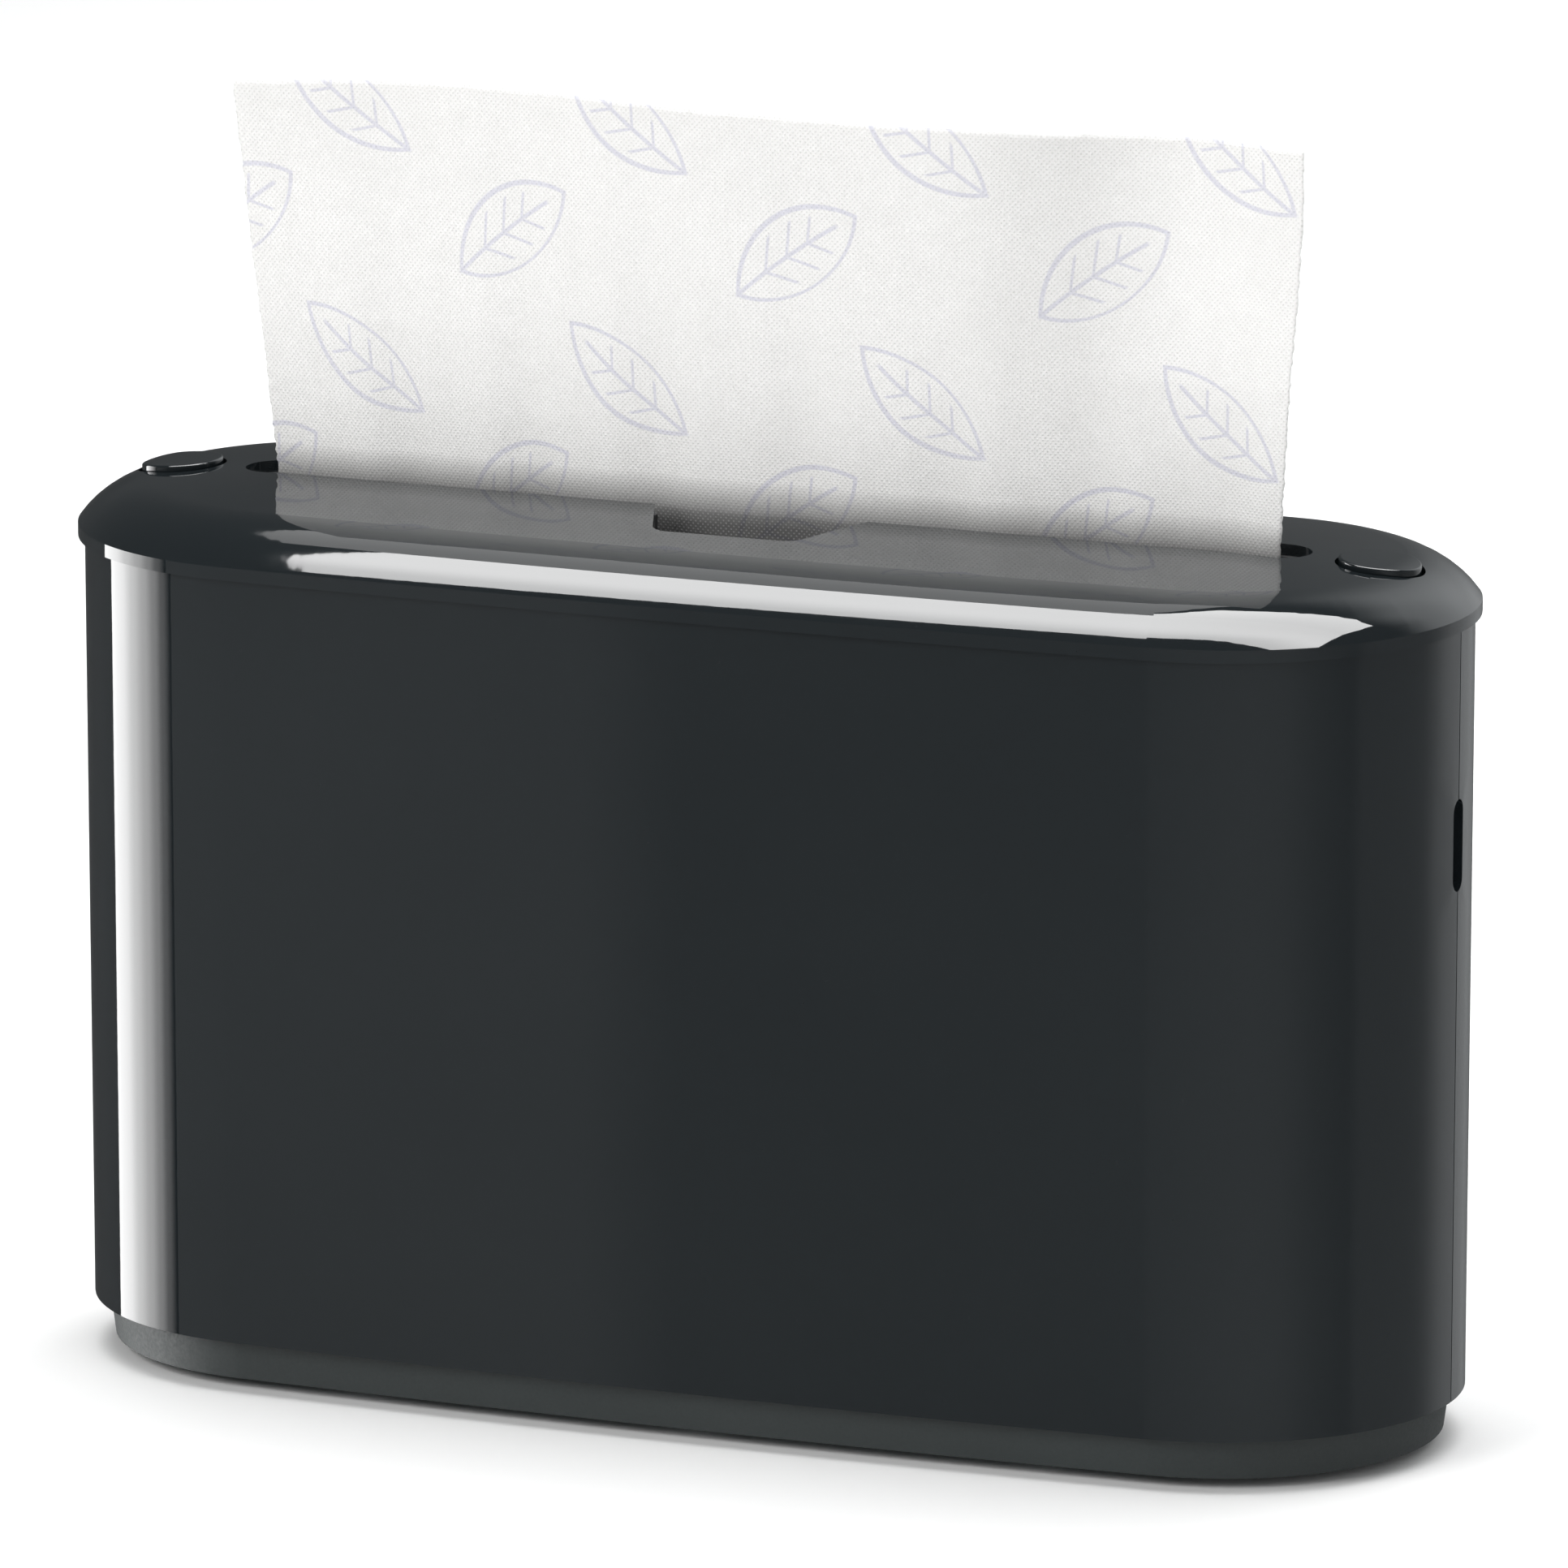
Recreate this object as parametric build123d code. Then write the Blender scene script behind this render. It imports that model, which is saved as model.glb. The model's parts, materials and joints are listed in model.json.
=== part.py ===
from build123d import *
import math
import os

# Counter-top dispenser for folded hand towels, drawn from the top slot.
# Millimetres, +Z up, origin on the table under the middle of the case.
# X runs along the case, -Y is the front.

# ---------------------------------------------------------------- driving sizes
# Outline: four tangent arcs. Every outline is an offset of one skeleton, so one
# number, the end radius e, sets it: half length = END_X + e.
END_X = 105.38            # centres of the two end arcs
BOW_CY = 2330.1           # centres of the slightly bowed front and back
BOW_K = math.hypot(END_X, BOW_CY)

E_BODY = 54.12            # case outline at its top edge (half length 159.5)
E_LID = 55.62             # lid outline (half length 161, half depth 58)
DRAFT = 0.66              # the case is this much smaller all round at its foot
WALL = 2.5

FOOT_H = 2.5              # rubber feet under the plinth edge
Z_CASE = 11.8             # bottom edge of the case
Z_RIM = 183.9             # top edge of the case, where the lid rests
Z_CREASE = 186.8          # top of the lid's upright skirt
PLINTH_IN_TOP = 3.3       # plinth set back under the case
PLINTH_IN_BOT = 4.57
FLANGE_W = 14.0           # foot flange of the case shells

# Lid dome: a shoulder arc that starts steeply, then a long flat crown
SHO_R = 22.0
SHO_A0 = math.radians(54.87)
CROWN_R = 478.0
LID_HALF = 58.0
LID_T = 2.5
LIP_D0, LIP_D1 = 4.3, 6.3  # locating lip, distance in from the lid's edge
Z_LIP = 177.9

SLOT_X, SLOT_Y = 125.0, 6.75          # half length and half width of the slot
THROAT_X, THROAT_Y = 122.8, 5.2       # inside of the throat insert
THROAT_WALL_Y = 7.2
Z_THROAT = 176.0
NOTCH_BACK, NOTCH_FRONT, NOTCH_Y = 25.0, 16.5, 28.8

BTN_X, BTN_R, WELL_R = 140.9, 9.0, 9.8
BTN_PROUD = 1.3
BTN_UNDER = 194.0
BTN_TRAVEL = 3.0
STEM_R = 3.0

PIV_X, PIV_Z, PIN_R = 131.0, 181.0, 2.0
LEVER_RATIO = 110.0 / 1000.0          # radians per millimetre of button travel

WIN_Z0, WIN_Z1, WIN_R = 125.8, 146.2, 3.0

STACK_X, STACK_Y = 115.5, 42.0
STACK_Z0, STACK_Z1 = 45.8, 174.0
LIFT_TRAVEL = 125.0
DRUM_X, DRUM_Z, COIL_R = 122.0, 29.0, 9.0
STRIP_T, STRIP_W = 0.2, 12.0
SHEET_X, SHEET_Z1 = 118.0, 286.5

# ---------------------------------------------------------------- helpers
SA, CA = END_X / BOW_K, BOW_CY / BOW_K
ALPHA = math.degrees(math.atan2(END_X, BOW_CY))


def outline(e, z):
    tx, ty = END_X + e * SA, e * CA
    a, b = END_X + e, e + BOW_K - BOW_CY

    def p(x, y):
        return Vector(x, y, z)

    return Wire([
        ThreePointArc(p(-tx, -ty), p(0, -b), p(tx, -ty)),
        ThreePointArc(p(tx, -ty), p(a, 0), p(tx, ty)),
        ThreePointArc(p(tx, ty), p(0, b), p(-tx, ty)),
        ThreePointArc(p(-tx, ty), p(-a, 0), p(-tx, -ty)),
    ])


def prism(e0, z0, z1, e1=None):
    if e1 is None or abs(e1 - e0) < 1e-9:
        return Solid.extrude(Face(outline(e0, z0)), Vector(0, 0, z1 - z0))
    return Solid.make_loft([outline(e0, z0), outline(e1, z1)], True)


def box(x0, x1, y0, y1, z0, z1):
    return Solid.make_box(x1 - x0, y1 - y0, z1 - z0, Plane((x0, y0, z0)))


def zcyl(x, y, r, z0, z1):
    return Solid.make_cylinder(r, z1 - z0, Plane((x, y, z0)))


def ycyl(x, z, r, y0, y1):
    return Solid.make_cylinder(r, y1 - y0, Plane((x, y0, z), x_dir=(1, 0, 0), z_dir=(0, 1, 0)))


def xcyl(y, z, r, x0, x1):
    return Solid.make_cylinder(r, x1 - x0, Plane((x0, y, z), x_dir=(0, 1, 0), z_dir=(1, 0, 0)))


def stadium(hx, hy, z0, z1, yc=0.0):
    c = hx - hy

    def p(x, y):
        return Vector(x, y + yc, z0)

    w = Wire([
        Line(p(-c, -hy), p(c, -hy)),
        ThreePointArc(p(c, -hy), p(hx, 0), p(c, hy)),
        Line(p(c, hy), p(-c, hy)),
        ThreePointArc(p(-c, hy), p(-hx, 0), p(-c, -hy)),
    ])
    return Solid.extrude(Face(w), Vector(0, 0, z1 - z0))


def mirrored(s):
    return mirror(s, about=Plane.YZ)


def one(s):
    """The single solid inside a boolean's result."""
    sols = s.solids() if hasattr(s, "solids") else [s]
    return max(sols, key=lambda q: q.volume)


def save(shape, node):
    export_step(shape, "parts/" + node + ".step")


def group(solids, node):
    export_step(Compound(children=list(solids)), "parts/" + node + ".step")


def pair(solid, stem):
    save(solid, stem + "_right")
    save(mirrored(solid), stem + "_left")


def mid(a, b):
    return 0.5 * (a + b)


# ---------------------------------------------------------------- lid dome profile
# d is the distance in from the lid's edge; th is the surface's slope angle.
SHO_CD = SHO_R * math.sin(SHO_A0)
SHO_CZ = Z_CREASE - SHO_R * math.cos(SHO_A0)
SIN1 = (LID_HALF - SHO_CD) / (CROWN_R - SHO_R)
SHO_A1 = math.asin(SIN1)
CROWN_CZ = SHO_CZ - (CROWN_R - SHO_R) * math.cos(SHO_A1)
Z_RIDGE = CROWN_CZ + CROWN_R


def sho(th, off=0.0):
    r = SHO_R - off
    return (SHO_CD - r * math.sin(th), SHO_CZ + r * math.cos(th))


def crown(d, off=0.0):
    r = CROWN_R - off
    return (d, CROWN_CZ + math.sqrt(r * r - (LID_HALF - d) ** 2))


def dome_z(d):
    """Height of the outer surface at distance d in from the edge."""
    if d < sho(SHO_A1)[0]:
        return SHO_CZ + math.sqrt(SHO_R ** 2 - (SHO_CD - d) ** 2)
    return crown(d)[1]


def sector_face(dmax, to3d, filled):
    v = lambda q: to3d(q[0], q[1])
    j = sho(SHO_A1)
    ed = [
        Line(v((0, Z_RIM)), v((0, Z_CREASE))),
        ThreePointArc(v((0, Z_CREASE)), v(sho(mid(SHO_A0, SHO_A1))), v(j)),
        ThreePointArc(v(j), v(crown(mid(j[0], dmax))), v(crown(dmax))),
    ]
    if filled:
        ed += [Line(v(crown(dmax)), v((dmax, Z_RIM))), Line(v((dmax, Z_RIM)), v((0, Z_RIM)))]
    else:
        ji = sho(SHO_A1, LID_T)
        th_in = math.asin((SHO_CD - LIP_D1) / (SHO_R - LID_T))
        k = sho(th_in, LID_T)
        ed += [
            Line(v(crown(dmax)), v(crown(dmax, LID_T))),
            ThreePointArc(v(crown(dmax, LID_T)), v(crown(mid(ji[0], dmax), LID_T)), v(ji)),
            ThreePointArc(v(ji), v(sho(mid(SHO_A1, th_in), LID_T)), v(k)),
            Line(v(k), v((LIP_D1, Z_LIP))),
            Line(v((LIP_D1, Z_LIP)), v((LIP_D0, Z_LIP))),
            Line(v((LIP_D0, Z_LIP)), v((LIP_D0, Z_RIM))),
            Line(v((LIP_D0, Z_RIM)), v((0, Z_RIM))),
        ]
    return Face(Wire(ed))


def slot_tools(z0, z1):
    c = SLOT_X - SLOT_Y
    return [box(-c, c, -SLOT_Y, SLOT_Y, z0, z1)] + [zcyl(k * c, 0, SLOT_Y, z0, z1) for k in (-1, 1)]


def dome(filled, slotted):
    ax_f = Axis((0, BOW_CY, 0), (0, 0, 1))
    f = sector_face(LID_HALF - 4.0, lambda d, z: Vector(0, -(LID_HALF - d), z), filled)
    front = Solid.revolve(f.rotate(ax_f, -ALPHA), 2 * ALPHA, ax_f)
    ax_e = Axis((END_X, 0, 0), (0, 0, 1))
    g = sector_face(E_LID - 1.0, lambda d, z: Vector(END_X + E_LID - d, 0, z), filled)
    half = 90.0 - ALPHA
    end = Solid.revolve(g.rotate(ax_e, -half), 2 * half, ax_e)
    if slotted:
        v0 = front.volume + end.volume
        for t in slot_tools(170.0, 210.0):
            front = one(front - t)
            end = one(end - t)
        print("slot cut, a front and an end sector:", round(v0 - front.volume - end.volume), "mm3")
    back = mirror(front, about=Plane.XZ)
    return end + front + back + mirrored(end)


# ================================================================ case
# plinth: drafted tray with a floor plate, pads for the feet and the end columns
e_foot = E_BODY - DRAFT
pl = prism(e_foot - PLINTH_IN_BOT, FOOT_H, Z_CASE, e_foot - PLINTH_IN_TOP)
pl -= prism(e_foot - PLINTH_IN_BOT - WALL, FOOT_H, Z_CASE - WALL, e_foot - PLINTH_IN_TOP - WALL - 0.3)
FEET = [(sx * 118.0, sy * 30.0) for sx in (-1, 1) for sy in (-1, 1)]
for x, y in FEET:
    pl += zcyl(x, y, 9.5, 3.5, Z_CASE - 1.0)
for s in (-1, 1):
    x0, x1 = sorted((s * 124.0, s * 138.0))
    pl += box(x0, x1, -20.0, 20.0, Z_CASE - 0.5, Z_CASE + WALL)
BASE_SCREWS = [(x, sy * 45.0) for x in (-80.0, 0.0, 80.0) for sy in (-1, 1)]
for x, y in BASE_SCREWS:
    pl -= zcyl(x, y, 2.0, 5.0, 16.0)
COL_SCREWS = [(sx * 127.5, sy * 15.0) for sx in (-1, 1) for sy in (-1, 1)]
for x, y in COL_SCREWS:
    pl -= zcyl(x, y, 1.55, 6.0, 16.0)
save(one(pl), "base_plinth")

def foot(x, y):
    f = zcyl(x, y, 7.5, 0.0, 3.5)
    return f.fillet(0.8, f.edges().filter_by(GeomType.CIRCLE).group_by(Axis.Z)[0])


group([foot(x, y) for x, y in FEET], "rubber_feet")

# front and rear shells: one drafted tube, split along the end seams
tube = prism(e_foot, Z_CASE, Z_RIM, E_BODY)
tube -= prism(e_foot - WALL, Z_CASE + WALL, Z_RIM + 1.0, E_BODY - WALL)
tube -= prism(e_foot - FLANGE_W, Z_CASE - 1.0, Z_CASE + WALL + 0.5)
for x, y in BASE_SCREWS:
    tube += zcyl(x, y, 4.0, Z_CASE + 1.0, 26.0)
    tube -= zcyl(x, y, 1.75, Z_CASE - 1.0, 23.5)
# level windows on the seams: upright slots with round ends
for s in (-1, 1):
    x0, x1 = sorted((s * 150.0, s * 165.0))
    tube -= box(x0, x1, -WIN_R, WIN_R, WIN_Z0 + WIN_R, WIN_Z1 - WIN_R)
    tube -= xcyl(0, WIN_Z0 + WIN_R, WIN_R, x0, x1)
    tube -= xcyl(0, WIN_Z1 - WIN_R, WIN_R, x0, x1)
# seam groove, 0.4 wide and half the wall deep
for s in (-1, 1):
    x0, x1 = sorted((s * (END_X + E_BODY - 1.3), s * 170.0))
    tube -= box(x0, x1, -0.2, 0.2, Z_CASE - 1, Z_RIM + 1)
front = one(tube & box(-200, 200, -100, 0, 0, 200))
rear = one(tube & box(-200, 200, 0, 100, 0, 200))
save(front, "front_shell")
save(rear, "rear_shell")


def screw(x, y, r, z_head0, z_head1, z_tip, r_head):
    """Pan-head screw standing on Z; z_tip may be above or below the head."""
    if z_tip > z_head1:
        s = zcyl(x, y, r_head, z_head0, z_head1) + zcyl(x, y, r, z_head1 - 0.1, z_tip)
        rec = box(x - 0.5, x + 0.5, y - r_head * 0.62, y + r_head * 0.62, z_head0 - 0.1, z_head0 + 0.8)
        rec += box(x - r_head * 0.62, x + r_head * 0.62, y - 0.5, y + 0.5, z_head0 - 0.1, z_head0 + 0.8)
    else:
        s = zcyl(x, y, r_head, z_head0, z_head1) + zcyl(x, y, r, z_tip, z_head0 + 0.1)
        rec = box(x - 0.5, x + 0.5, y - r_head * 0.62, y + r_head * 0.62, z_head1 - 0.8, z_head1 + 0.1)
        rec += box(x - r_head * 0.62, x + r_head * 0.62, y - 0.5, y + 0.5, z_head1 - 0.8, z_head1 + 0.1)
    return one(s - rec)


group([screw(x, y, 1.7, 6.9, Z_CASE - WALL, 22.0, 3.0) for x, y in BASE_SCREWS], "base_screws")

# ---------------------------------------------------------------- end columns
Z_COL = Z_CASE + WALL           # 14.3, on the flange and the plinth pad
COL_TOP = 172.0
col = box(134.0, 148.5, -20.0, 20.0, Z_COL, COL_TOP)
col -= box(133.0, 146.0, -14.0, 14.0, 18.0, 168.0)
col -= box(145.0, 149.0, -5.0, 5.0, 18.0, 168.0)
col += box(124.0, 135.0, -20.0, 20.0, Z_COL, 17.3)
col += box(131.3, 134.5, -7.0, 7.0, 164.0, 174.0)      # tab that holds the strip
for s in (-1, 1):
    y0, y1 = sorted((s * 13.9, s * 20.5))
    col -= box(133.0, 138.0, y0, y1, 160.0, 173.0)     # room for the hooks
    col -= zcyl(127.5, s * 15.0, 1.65, Z_COL - 1, 18.0)
    col -= zcyl(142.5, s * 16.0, 1.1, 165.0, 173.0)
    col -= xcyl(s * 3.0, 169.0, 0.8, 130.0, 134.6)
    y0, y1 = sorted((s * 18.5, s * 20.5))
    col -= box(140.0, 149.0, y0, y1, 30.0, 155.0)      # thinned side walls
pair(one(col), "guide_column")
group([screw(x, y, 1.5, 17.3, 19.3, 7.0, 2.8) for x, y in COL_SCREWS], "column_screws")

# keeper clip: sprung plate over the hook notches on top of each column
kc = box(134.0, 146.5, -19.5, 19.5, COL_TOP, COL_TOP + 0.8)
kc -= box(133.0, 137.0, -8.5, 8.5, COL_TOP - 1, COL_TOP + 2)
for s in (-1, 1):
    kc -= zcyl(142.5, s * 16.0, 1.2, COL_TOP - 1, COL_TOP + 2)
kc -= box(139.0, 141.0, -11.0, 11.0, COL_TOP - 1, COL_TOP + 2)
pair(one(kc), "keeper_clip")
group([screw(sx * 142.5, sy * 16.0, 1.05, COL_TOP + 0.8, COL_TOP + 2.2, 166.0, 2.0)
       for sx in (-1, 1) for sy in (-1, 1)], "keeper_screws")

# constant-force strips: flat steel from the drums up to the column tabs
strip = box(131.3 - STRIP_T, 131.3, -STRIP_W / 2, STRIP_W / 2, DRUM_Z, STACK_Z1)
for s in (-1, 1):
    strip -= xcyl(s * 3.0, 169.0, 0.8, 130.0, 132.0)
pair(one(strip), "spring_strip")
rivets = []
for sx in (-1, 1):
    for sy in (-1, 1):
        r = xcyl(sy * 3.0, 169.0, 0.75, 130.6, 134.3) + xcyl(sy * 3.0, 169.0, 1.6, 129.9, 131.1)
        rivets.append(r if sx > 0 else mirrored(r))
group([one(r) for r in rivets], "strip_rivets")

# ---------------------------------------------------------------- towels
save(box(-STACK_X, STACK_X, -STACK_Y, STACK_Y, STACK_Z0, STACK_Z1), "towel_stack")
save(box(-SHEET_X, SHEET_X, 0.2, 1.2, STACK_Z1 + 0.3, SHEET_Z1), "feed_sheet")

# ---------------------------------------------------------------- lift platform
pf = box(-118.0, 118.0, -44.0, 44.0, 43.0, 45.5)
for s in (-1, 1):
    y0, y1 = sorted((s * 30.0, s * 32.0))
    pf += box(-108.0, 108.0, y0, y1, 36.0, 43.5)
for x in (-70.0, 0.0, 70.0):
    pf += box(x - 1.0, x + 1.0, -31.0, 31.0, 38.0, 43.5)
for sx in (-1, 1):
    for sy in (-1, 1):
        x0, x1 = sorted((sx * 108.0, sx * 135.0))
        y0, y1 = sorted((sy * 9.0, sy * 12.0))
        pf += box(x0, x1, y0, y1, 20.0, 45.5)
        x0, x1 = sorted((sx * 132.5, sx * 136.0))
        y0, y1 = sorted((sy * 8.0, sy * 13.0))
        pf -= box(x0, x1, y0, y1, 42.4, 46.0)      # clears the column's head at the top
    pf -= ycyl(sx * DRUM_X, DRUM_Z, 2.5, -15.0, 15.0)
pf = one(pf)
save(pf, "lift_platform")
shoe = box(135.0, 145.6, -13.6, 13.6, 20.0, 42.0)
shoe = shoe.chamfer(0.8, None, shoe.edges().filter_by(Axis.X))
shoe -= box(137.0, 143.5, -10.5, 10.5, 19.0, 38.5)
pair(one(shoe), "glide_shoe")
flag = box(145.6, 150.5, -3.5, 3.5, 22.0, 40.0) + box(150.0, 151.5, -4.2, 4.2, 16.0, 45.0)
pair(one(flag), "level_flag")
axle = ycyl(DRUM_X, DRUM_Z, 2.46, -12.0, 12.0)
axle += ycyl(DRUM_X, DRUM_Z, 3.6, 12.0, 13.2)
pair(one(axle), "drum_axle")

# drums, and the wound part of each strip
dr = ycyl(DRUM_X, DRUM_Z, 6.5, -8.0, 8.0)
dr += ycyl(DRUM_X, DRUM_Z, 10.5, 7.0, 8.3) + ycyl(DRUM_X, DRUM_Z, 10.5, -8.3, -7.0)
dr -= ycyl(DRUM_X, DRUM_Z, 2.55, -10.0, 10.0)
for k in range(5):
    t = math.radians(72 * k)
    for y0 in (-8.5, 6.8):
        dr -= ycyl(DRUM_X + 8.3 * math.cos(t), DRUM_Z + 8.3 * math.sin(t), 0.9, y0, y0 + 1.7)
pair(one(dr), "spring_drum")
coil = ycyl(DRUM_X, DRUM_Z, COIL_R - 0.05, -6.2, 6.2) - ycyl(DRUM_X, DRUM_Z, 6.5, -8.0, 8.0)
pair(one(coil), "spring_coil")

# ================================================================ lid
hollow = dome(False, True)
full = dome(True, False)


def under(drop):
    """The filled dome lowered by drop."""
    return full.moved(Location((0, 0, -drop)))


cover = hollow
# button wells with guide sleeves
for s in (-1, 1):
    sleeve = zcyl(s * BTN_X, 0, WELL_R + 1.6, 190.5, 205.0) & under(0.6)
    cover += one(sleeve)
    cover -= zcyl(s * BTN_X, 0, WELL_R, 180.0, 210.0)
# bosses for the latch brackets and the throat insert
BR_SCREWS = [(sx * 128.3, sy * 15.0) for sx in (-1, 1) for sy in (-1, 1)]
BR_SCREWS += [(sx * 147.0, sy * 15.5) for sx in (-1, 1) for sy in (-1, 1)]
TH_SCREWS = [(sx * 85.0, sy * 12.0) for sx in (-1, 1) for sy in (-1, 1)]
for x, y in BR_SCREWS:
    cover += one(zcyl(x, y, 2.8, 188.6, 205.0) & under(0.8))
for x, y in TH_SCREWS:
    cover += one(zcyl(x, y, 3.0, 193.2, 205.0) & under(0.8))
# finger notch in front of the slot
def notch(grow, z0, z1):
    k = grow
    pts = [(-NOTCH_BACK - k, -3.0), (-NOTCH_BACK - k, -SLOT_Y), (-NOTCH_FRONT - k, -NOTCH_Y - k),
           (NOTCH_FRONT + k, -NOTCH_Y - k), (NOTCH_BACK + k, -SLOT_Y), (NOTCH_BACK + k, -3.0)]
    w = Wire.make_polygon([Vector(x, y, z0) for x, y in pts], close=True)
    s = Solid.extrude(Face(w), Vector(0, 0, z1 - z0))
    es = [e for e in s.edges().filter_by(Axis.Z) if e.center().Y < -10]
    return s.fillet(5.0, es)


v0 = cover.volume
cover -= notch(0.0, 170.0, 210.0)
print("notch cut", round(v0 - cover.volume), "mm3")
for x, y in BR_SCREWS:
    top = 194.0 if abs(x) > 140 else 196.3
    top = min(top, dome_z(E_LID - math.hypot(abs(x) - END_X, y)) - 1.6)
    cover -= zcyl(x, y, 1.1, 188.0, top)
for x, y in TH_SCREWS:
    cover -= zcyl(x, y, 1.1, 193.0, 195.9)
cover = one(cover)
save(cover, "lid_cover")

# throat insert: lines the slot, with a sloped finger scoop in front of it
Z_IN = Z_RIDGE - LID_T - 0.1          # just under the inside of the crown


def drop_at(t):
    return (CROWN_R - LID_T) - math.sqrt((CROWN_R - LID_T) ** 2 - t * t)


xm = END_X + E_LID - LID_HALF         # where the crown starts to fall to the ends
xe = 130.0
long_trim = Solid.extrude(Face(Wire([
    Line((-xm, -20, Z_IN), (xm, -20, Z_IN)),
    ThreePointArc((xm, -20, Z_IN), (mid(xm, xe), -20, Z_IN - drop_at(mid(0, xe - xm))), (xe, -20, Z_IN - drop_at(xe - xm))),
    Line((xe, -20, Z_IN - drop_at(xe - xm)), (xe, -20, 170)),
    Line((xe, -20, 170), (-xe, -20, 170)),
    Line((-xe, -20, 170), (-xe, -20, Z_IN - drop_at(xe - xm))),
    ThreePointArc((-xe, -20, Z_IN - drop_at(xe - xm)), (-mid(xm, xe), -20, Z_IN - drop_at(mid(0, xe - xm))), (-xm, -20, Z_IN)),
])), Vector(0, 40, 0))
ye = 36.0
cross_trim = Solid.extrude(Face(Wire([
    Line((-40, 0, Z_IN), (-40, 0, 170)),
    Line((-40, 0, 170), (-40, -ye, 170)),
    Line((-40, -ye, 170), (-40, -ye, Z_IN - drop_at(ye))),
    ThreePointArc((-40, -ye, Z_IN - drop_at(ye)), (-40, -mid(0, ye), Z_IN - drop_at(mid(0, ye))), (-40, 0, Z_IN)),
])), Vector(80, 0, 0))
th = one(stadium(SLOT_X, THROAT_WALL_Y, Z_THROAT, 205.0) & long_trim)
th += stadium(118.0, 16.0, 191.2, 193.2)
th += one(notch(1.8, 183.0, 205.0) & cross_trim)
th -= stadium(THROAT_X, THROAT_Y, Z_THROAT - 1, 210.0)
# the scoop: its floor falls towards the slot
sc = notch(0.0, 184.8, 210.0)
wedge = Solid.extrude(Face(Wire.make_polygon([Vector(-40, -40, 182), Vector(-40, -40, 195.8), Vector(-40, -NOTCH_Y, 192.6),
                                              Vector(-40, -THROAT_Y + 1.0, 184.8), Vector(-40, -THROAT_Y + 1.0, 182)], close=True)), Vector(80, 0, 0))
th -= one(sc - wedge)
for x, y in TH_SCREWS:
    th -= zcyl(x, y, 1.6, 188.0, 196.0)
th = one(th)
save(th, "slot_throat")
group([screw(x, y, 1.05, 189.4, 191.2, 195.6, 2.4) for x, y in TH_SCREWS], "throat_screws")

# latch bracket: plate under the lid with two cheeks for the pin
br = box(126.5, 151.0, -21.5, 21.5, 186.6, 188.6)
for s in (-1, 1):
    y0, y1 = sorted((s * 18.8, s * 21.5))
    br += box(126.5, 135.5, y0, y1, 177.0, 187.0)
    br -= zcyl(147.0, s * 15.5, 1.3, 185.0, 190.0)
    br -= zcyl(128.3, s * 15.0, 1.3, 185.0, 190.0)
    br -= box(149.0, 152.0, *sorted((s * 18.5, s * 22.0)), 185.0, 190.0)
br -= ycyl(PIV_X, PIV_Z, PIN_R, -25.0, 25.0)
br -= zcyl(BTN_X, 0, STEM_R + 0.05, 185.0, 190.0)
pair(one(br), "latch_bracket")
group([screw(x, y, 1.05, 185.2, 186.6, min(193.5 if abs(x) > 140 else 195.0, dome_z(E_LID - math.hypot(abs(x) - END_X, y)) - 1.9), 2.0)
       for x, y in BR_SCREWS], "bracket_screws")
pin = ycyl(PIV_X, PIV_Z, PIN_R, -22.0, 22.0)
pin = pin.chamfer(0.3, None, pin.edges())
pair(one(pin), "latch_pin")

# latch lever: hub on the pin, a pad under the button stem, two hooks
lv = ycyl(PIV_X, PIV_Z, 4.0, -18.5, 18.5)
lv += box(PIV_X, PIV_X + 12.5, -3.0, 3.0, PIV_Z - 1.0, PIV_Z + 3.0)
lv += box(PIV_X + 8.5, PIV_X + 11.3, -2.5, 2.5, PIV_Z + 2.5, PIV_Z + 5.4)
for s in (-1, 1):
    y0, y1 = sorted((s * 15.3, s * 18.5))
    lv += box(PIV_X - 2.0, PIV_X + 2.0, y0, y1, 168.0, PIV_Z)
    lv += box(PIV_X - 2.0, PIV_X + 5.5, y0, y1, 168.0, 171.7)
lv -= ycyl(PIV_X, PIV_Z, PIN_R + 0.05, -20.0, 20.0)
pair(one(lv), "latch_lever")

# release button: crowned cap that stands proud of the dome, on a guide stem
cap = zcyl(BTN_X, 0, BTN_R, BTN_UNDER, 210.0) & full.moved(Location((0, 0, BTN_PROUD)))
cap = one(cap)
try:
    top_edges = [e for e in cap.edges() if e.center().Z > BTN_UNDER + 0.5]
    cap = cap.fillet(0.5, top_edges)
except Exception:
    pass
btn = cap + zcyl(BTN_X, 0, STEM_R, 186.5, BTN_UNDER + 0.5)
pair(one(btn), "release_button")

# button return spring: a short coil round the stem
hx = Helix(pitch=1.55, height=4.65, radius=4.5, center=(BTN_X, 0, 188.95))
prof = Plane(hx @ 0, z_dir=hx % 0) * Circle(0.3)
spring = sweep(prof, path=hx, is_frenet=True)
pair(one(spring), "button_spring")

print("ridge", round(Z_RIDGE, 2), "dome at the button", round(dome_z(E_LID - (BTN_X - END_X)), 2))
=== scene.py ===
import json
import math

import bmesh
import bpy
import numpy as np
from mathutils import Matrix, Vector, noise


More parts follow.
